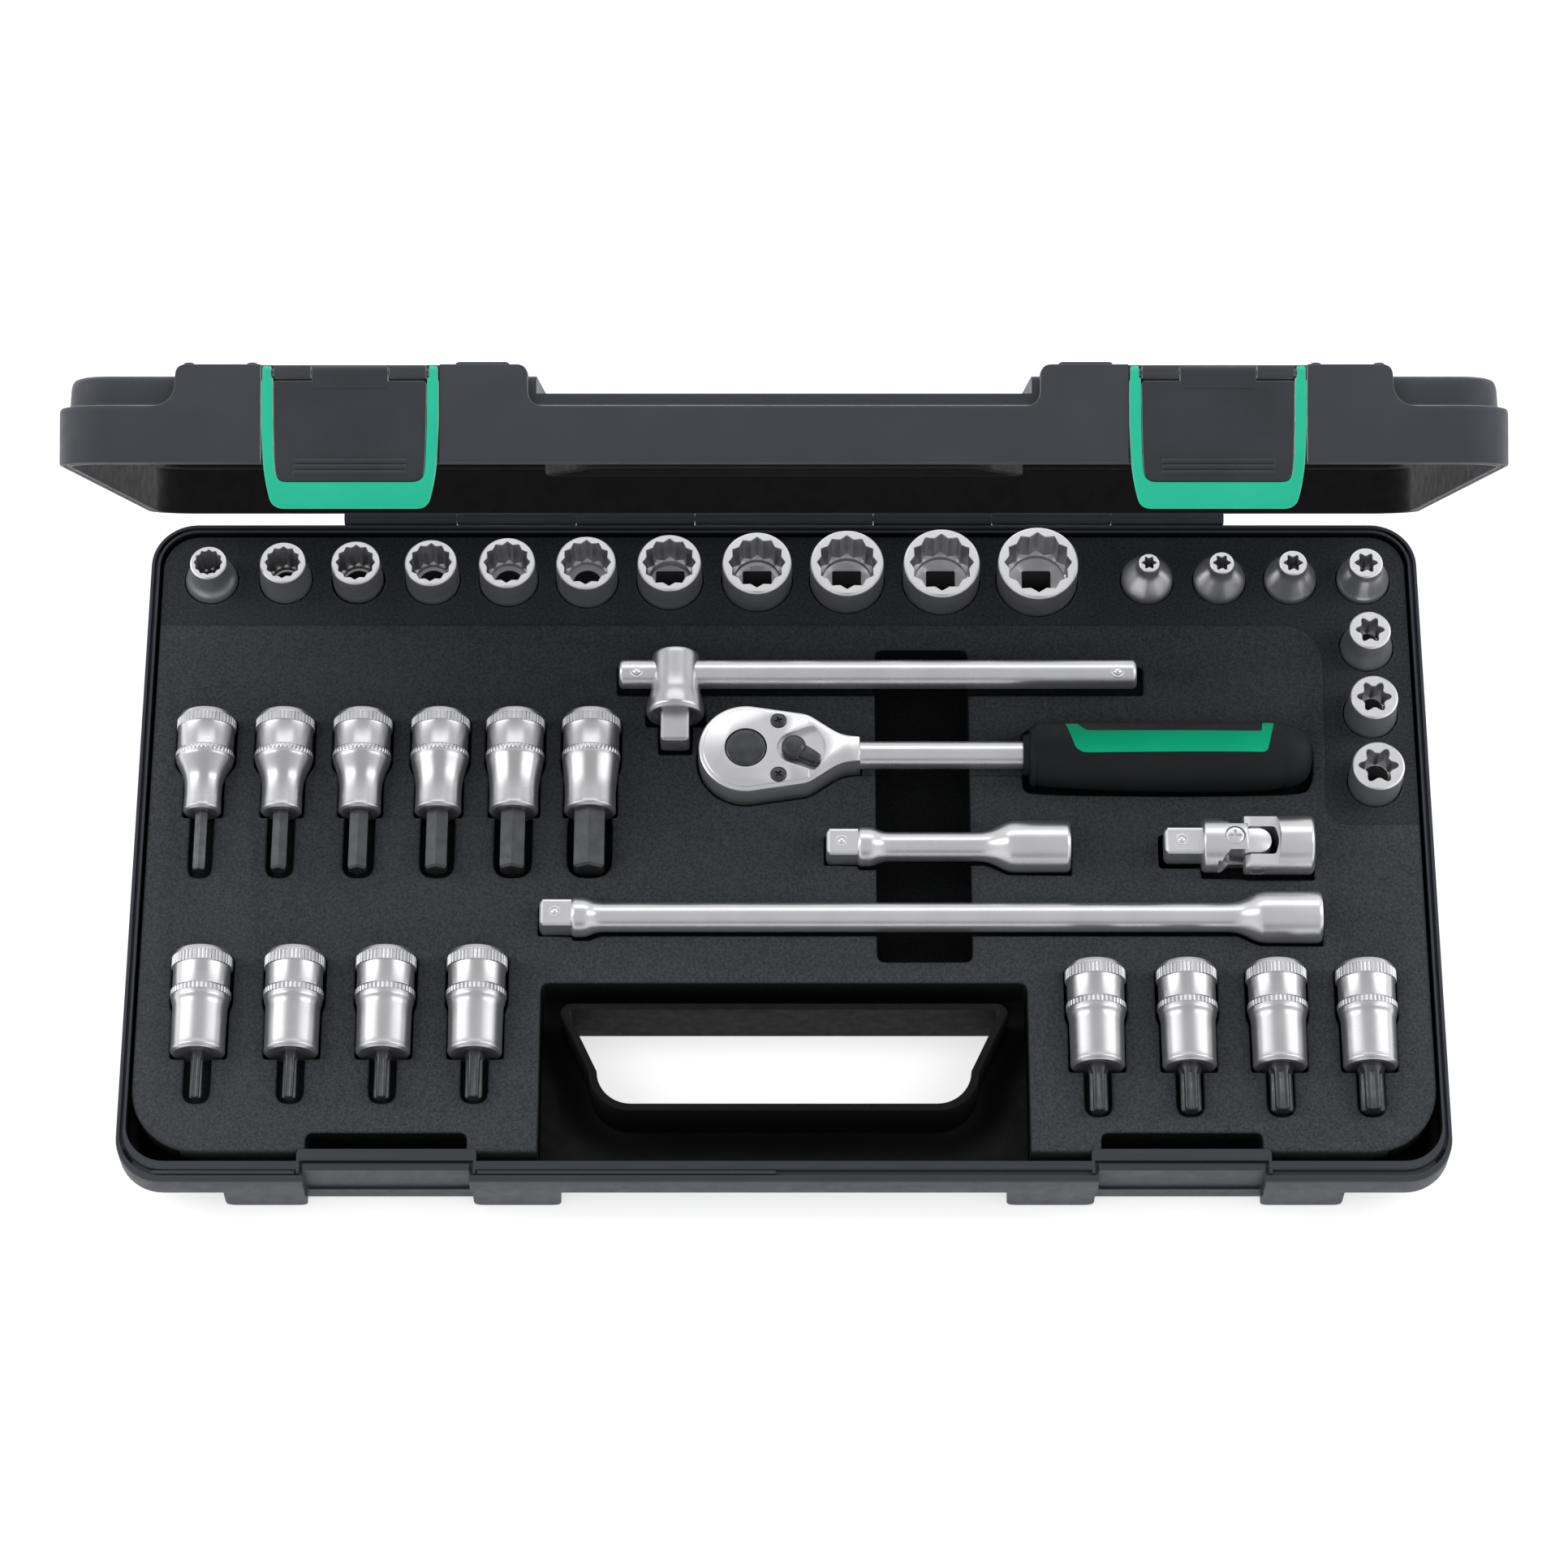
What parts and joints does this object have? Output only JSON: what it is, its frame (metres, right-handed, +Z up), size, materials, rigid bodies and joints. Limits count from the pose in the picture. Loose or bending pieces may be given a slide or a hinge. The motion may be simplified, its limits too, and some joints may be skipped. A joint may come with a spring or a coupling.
{
  "type": "socket wrench set in a case",
  "caption": "Hinged plastic case with a foam tray that holds square-drive sockets, bit sockets, a ratchet, a sliding T-handle, extensions and a universal joint.",
  "frame": {"origin": "centre of the flat underside of the case base", "axes": "+X to the right along the case's width, +Y from the front to the hinge side, +Z up out of the base"},
  "size_m": [0.424, 0.2582, 0.2515],
  "materials": {
    "case_plastic": "moulded, fine matt texture",
    "tray_foam": "closed-cell foam with a fine speckled skin",
    "latch_green": "moulded, satin",
    "satin_chrome": "satin chrome plate",
    "hinge_steel": "drawn rod",
    "black_oxide": "black oxide",
    "grip_rubber": "soft matt grip",
    "inlay_green": "moulded, matt"
  },
  "bodies": {
    "case_base": {"base_shell": "case_plastic", "tool_tray": "tray_foam", "hinge_rod": "hinge_steel"},
    "lid": {"lid_shell": "case_plastic", "latch_pin_left": "hinge_steel", "latch_pin_right": "hinge_steel"},
    "latch_left": {"latch_frame_left": "latch_green", "latch_plate_left": "case_plastic"},
    "latch_right": {"latch_frame_right": "latch_green", "latch_plate_right": "case_plastic"},
    "ratchet": {"ratchet_body": "satin_chrome", "ratchet_cover_plate": "satin_chrome", "ratchet_grip": "grip_rubber", "ratchet_grip_inlay": "inlay_green", "ratchet_screw_far": "black_oxide", "ratchet_screw_near": "black_oxide"},
    "ratchet_lever": {"reversing_lever": "black_oxide"},
    "ratchet_drive": {"ratchet_drive_square": "satin_chrome"},
    "ratchet_button": {"release_button": "black_oxide"},
    "t_handle": {"t_handle_head": "satin_chrome"},
    "t_bar": {"t_handle_bar": "satin_chrome"},
    "universal_joint": {"uj_socket_fork": "satin_chrome", "uj_pin_level": "satin_chrome"},
    "uj_link": {"uj_link_block": "satin_chrome"},
    "uj_square": {"uj_square_fork": "satin_chrome", "uj_pin_upright": "satin_chrome"},
    "extension_short": {"extension_short": "satin_chrome"},
    "extension_long": {"extension_long": "satin_chrome"},
    "socket_08mm": {"socket_08mm": "satin_chrome"},
    "socket_10mm": {"socket_10mm": "satin_chrome"},
    "socket_11mm": {"socket_11mm": "satin_chrome"},
    "socket_12mm": {"socket_12mm": "satin_chrome"},
    "socket_13mm": {"socket_13mm": "satin_chrome"},
    "socket_14mm": {"socket_14mm": "satin_chrome"},
    "socket_15mm": {"socket_15mm": "satin_chrome"},
    "socket_16mm": {"socket_16mm": "satin_chrome"},
    "socket_17mm": {"socket_17mm": "satin_chrome"},
    "socket_18mm": {"socket_18mm": "satin_chrome"},
    "socket_19mm": {"socket_19mm": "satin_chrome"},
    "lobe_socket_e05": {"lobe_socket_e05": "satin_chrome"},
    "lobe_socket_e06": {"lobe_socket_e06": "satin_chrome"},
    "lobe_socket_e07": {"lobe_socket_e07": "satin_chrome"},
    "lobe_socket_e08": {"lobe_socket_e08": "satin_chrome"},
    "lobe_socket_e10": {"lobe_socket_e10": "satin_chrome"},
    "lobe_socket_e12": {"lobe_socket_e12": "satin_chrome"},
    "lobe_socket_e14": {"lobe_socket_e14": "satin_chrome"},
    "hex_bit_socket_04": {"hex_bit_socket_04": "satin_chrome"},
    "hex_bit_socket_05": {"hex_bit_socket_05": "satin_chrome"},
    "hex_bit_socket_06": {"hex_bit_socket_06": "satin_chrome"},
    "hex_bit_socket_07": {"hex_bit_socket_07": "satin_chrome"},
    "hex_bit_socket_08": {"hex_bit_socket_08": "satin_chrome"},
    "hex_bit_socket_10": {"hex_bit_socket_10": "satin_chrome"},
    "star_bit_socket_20": {"star_bit_socket_20": "satin_chrome"},
    "star_bit_socket_25": {"star_bit_socket_25": "satin_chrome"},
    "star_bit_socket_27": {"star_bit_socket_27": "satin_chrome"},
    "star_bit_socket_30": {"star_bit_socket_30": "satin_chrome"},
    "star_bit_socket_35": {"star_bit_socket_35": "satin_chrome"},
    "star_bit_socket_40": {"star_bit_socket_40": "satin_chrome"},
    "star_bit_socket_45": {"star_bit_socket_45": "satin_chrome"},
    "star_bit_socket_50": {"star_bit_socket_50": "satin_chrome"}
  },
  "joints": [
    {"name": "lid_hinge", "type": "hinge", "parent": "case_base", "child": "lid", "pos_m": [0, 0.1202, 0.023], "axis": [-1, 0, 0], "range_deg": [-65.6, 39]},
    {"name": "latch_left_hinge", "type": "hinge", "parent": "lid", "child": "latch_left", "pos_m": [-0.1259, 0.0478, 0.24941], "axis": [-1, 0, 0], "range_deg": [0, 75]},
    {"name": "latch_right_hinge", "type": "hinge", "parent": "lid", "child": "latch_right", "pos_m": [0.1259, 0.0478, 0.24941], "axis": [-1, 0, 0], "range_deg": [0, 75]},
    {"name": "ratchet_lift", "type": "slide", "parent": "case_base", "child": "ratchet", "axis": [0, 0, 1], "range_m": [0, 0.045]},
    {"name": "reversing_lever_turn", "type": "hinge", "parent": "ratchet", "child": "ratchet_lever", "pos_m": [0.0032, 0.0299, 0.0333], "axis": [0, 0, 1], "range_deg": [0, 58]},
    {"name": "drive_square_turn", "type": "hinge", "parent": "ratchet", "child": "ratchet_drive", "pos_m": [-0.0125, 0.0299, 0.0205], "axis": [0, 0, 1], "continuous": true},
    {"name": "release_button_push", "type": "slide", "parent": "ratchet", "child": "ratchet_button", "axis": [0, 0, -1], "range_m": [0, 0.002], "stiffness_N_per_m": 300, "springref_m": -0.001},
    {"name": "t_handle_lift", "type": "slide", "parent": "case_base", "child": "t_handle", "axis": [0, 0, 1], "range_m": [0, 0.04]},
    {"name": "t_bar_slide", "type": "slide", "parent": "t_handle", "child": "t_bar", "axis": [-1, 0, 0], "range_m": [0, 0.1335]},
    {"name": "universal_joint_lift", "type": "slide", "parent": "case_base", "child": "universal_joint", "axis": [0, 0, 1], "range_m": [0, 0.04]},
    {"name": "uj_bend_up", "type": "hinge", "parent": "universal_joint", "child": "uj_link", "pos_m": [0.1534, -0.003, 0.0283], "axis": [0, 1, 0], "range_deg": [0, 40]},
    {"name": "uj_bend_side", "type": "hinge", "parent": "uj_link", "child": "uj_square", "pos_m": [0.1461, -0.003, 0.0283], "axis": [0, 0, 1], "range_deg": [-10, 10]},
    {"name": "extension_short_lift", "type": "slide", "parent": "case_base", "child": "extension_short", "axis": [0, 0, 1], "range_m": [0, 0.04]},
    {"name": "extension_long_lift", "type": "slide", "parent": "case_base", "child": "extension_long", "axis": [0, 0, 1], "range_m": [0, 0.04]},
    {"name": "socket_08mm_lift", "type": "slide", "parent": "case_base", "child": "socket_08mm", "axis": [0, 0, 1], "range_m": [0, 0.04]},
    {"name": "socket_10mm_lift", "type": "slide", "parent": "case_base", "child": "socket_10mm", "axis": [0, 0, 1], "range_m": [0, 0.04]},
    {"name": "socket_11mm_lift", "type": "slide", "parent": "case_base", "child": "socket_11mm", "axis": [0, 0, 1], "range_m": [0, 0.04]},
    {"name": "socket_12mm_lift", "type": "slide", "parent": "case_base", "child": "socket_12mm", "axis": [0, 0, 1], "range_m": [0, 0.04]},
    {"name": "socket_13mm_lift", "type": "slide", "parent": "case_base", "child": "socket_13mm", "axis": [0, 0, 1], "range_m": [0, 0.04]},
    {"name": "socket_14mm_lift", "type": "slide", "parent": "case_base", "child": "socket_14mm", "axis": [0, 0, 1], "range_m": [0, 0.04]},
    {"name": "socket_15mm_lift", "type": "slide", "parent": "case_base", "child": "socket_15mm", "axis": [0, 0, 1], "range_m": [0, 0.04]},
    {"name": "socket_16mm_lift", "type": "slide", "parent": "case_base", "child": "socket_16mm", "axis": [0, 0, 1], "range_m": [0, 0.04]},
    {"name": "socket_17mm_lift", "type": "slide", "parent": "case_base", "child": "socket_17mm", "axis": [0, 0, 1], "range_m": [0, 0.04]},
    {"name": "socket_18mm_lift", "type": "slide", "parent": "case_base", "child": "socket_18mm", "axis": [0, 0, 1], "range_m": [0, 0.04]},
    {"name": "socket_19mm_lift", "type": "slide", "parent": "case_base", "child": "socket_19mm", "axis": [0, 0, 1], "range_m": [0, 0.04]},
    {"name": "lobe_socket_e05_lift", "type": "slide", "parent": "case_base", "child": "lobe_socket_e05", "axis": [0, 0, 1], "range_m": [0, 0.04]},
    {"name": "lobe_socket_e06_lift", "type": "slide", "parent": "case_base", "child": "lobe_socket_e06", "axis": [0, 0, 1], "range_m": [0, 0.04]},
    {"name": "lobe_socket_e07_lift", "type": "slide", "parent": "case_base", "child": "lobe_socket_e07", "axis": [0, 0, 1], "range_m": [0, 0.04]},
    {"name": "lobe_socket_e08_lift", "type": "slide", "parent": "case_base", "child": "lobe_socket_e08", "axis": [0, 0, 1], "range_m": [0, 0.04]},
    {"name": "lobe_socket_e10_lift", "type": "slide", "parent": "case_base", "child": "lobe_socket_e10", "axis": [0, 0, 1], "range_m": [0, 0.04]},
    {"name": "lobe_socket_e12_lift", "type": "slide", "parent": "case_base", "child": "lobe_socket_e12", "axis": [0, 0, 1], "range_m": [0, 0.04]},
    {"name": "lobe_socket_e14_lift", "type": "slide", "parent": "case_base", "child": "lobe_socket_e14", "axis": [0, 0, 1], "range_m": [0, 0.04]},
    {"name": "hex_bit_socket_04_lift", "type": "slide", "parent": "case_base", "child": "hex_bit_socket_04", "axis": [0, 0, 1], "range_m": [0, 0.04]},
    {"name": "hex_bit_socket_05_lift", "type": "slide", "parent": "case_base", "child": "hex_bit_socket_05", "axis": [0, 0, 1], "range_m": [0, 0.04]},
    {"name": "hex_bit_socket_06_lift", "type": "slide", "parent": "case_base", "child": "hex_bit_socket_06", "axis": [0, 0, 1], "range_m": [0, 0.04]},
    {"name": "hex_bit_socket_07_lift", "type": "slide", "parent": "case_base", "child": "hex_bit_socket_07", "axis": [0, 0, 1], "range_m": [0, 0.04]},
    {"name": "hex_bit_socket_08_lift", "type": "slide", "parent": "case_base", "child": "hex_bit_socket_08", "axis": [0, 0, 1], "range_m": [0, 0.04]},
    {"name": "hex_bit_socket_10_lift", "type": "slide", "parent": "case_base", "child": "hex_bit_socket_10", "axis": [0, 0, 1], "range_m": [0, 0.04]},
    {"name": "star_bit_socket_20_lift", "type": "slide", "parent": "case_base", "child": "star_bit_socket_20", "axis": [0, 0, 1], "range_m": [0, 0.04]},
    {"name": "star_bit_socket_25_lift", "type": "slide", "parent": "case_base", "child": "star_bit_socket_25", "axis": [0, 0, 1], "range_m": [0, 0.04]},
    {"name": "star_bit_socket_27_lift", "type": "slide", "parent": "case_base", "child": "star_bit_socket_27", "axis": [0, 0, 1], "range_m": [0, 0.04]},
    {"name": "star_bit_socket_30_lift", "type": "slide", "parent": "case_base", "child": "star_bit_socket_30", "axis": [0, 0, 1], "range_m": [0, 0.04]},
    {"name": "star_bit_socket_35_lift", "type": "slide", "parent": "case_base", "child": "star_bit_socket_35", "axis": [0, 0, 1], "range_m": [0, 0.04]},
    {"name": "star_bit_socket_40_lift", "type": "slide", "parent": "case_base", "child": "star_bit_socket_40", "axis": [0, 0, 1], "range_m": [0, 0.04]},
    {"name": "star_bit_socket_45_lift", "type": "slide", "parent": "case_base", "child": "star_bit_socket_45", "axis": [0, 0, 1], "range_m": [0, 0.04]},
    {"name": "star_bit_socket_50_lift", "type": "slide", "parent": "case_base", "child": "star_bit_socket_50", "axis": [0, 0, 1], "range_m": [0, 0.04]}
  ]
}
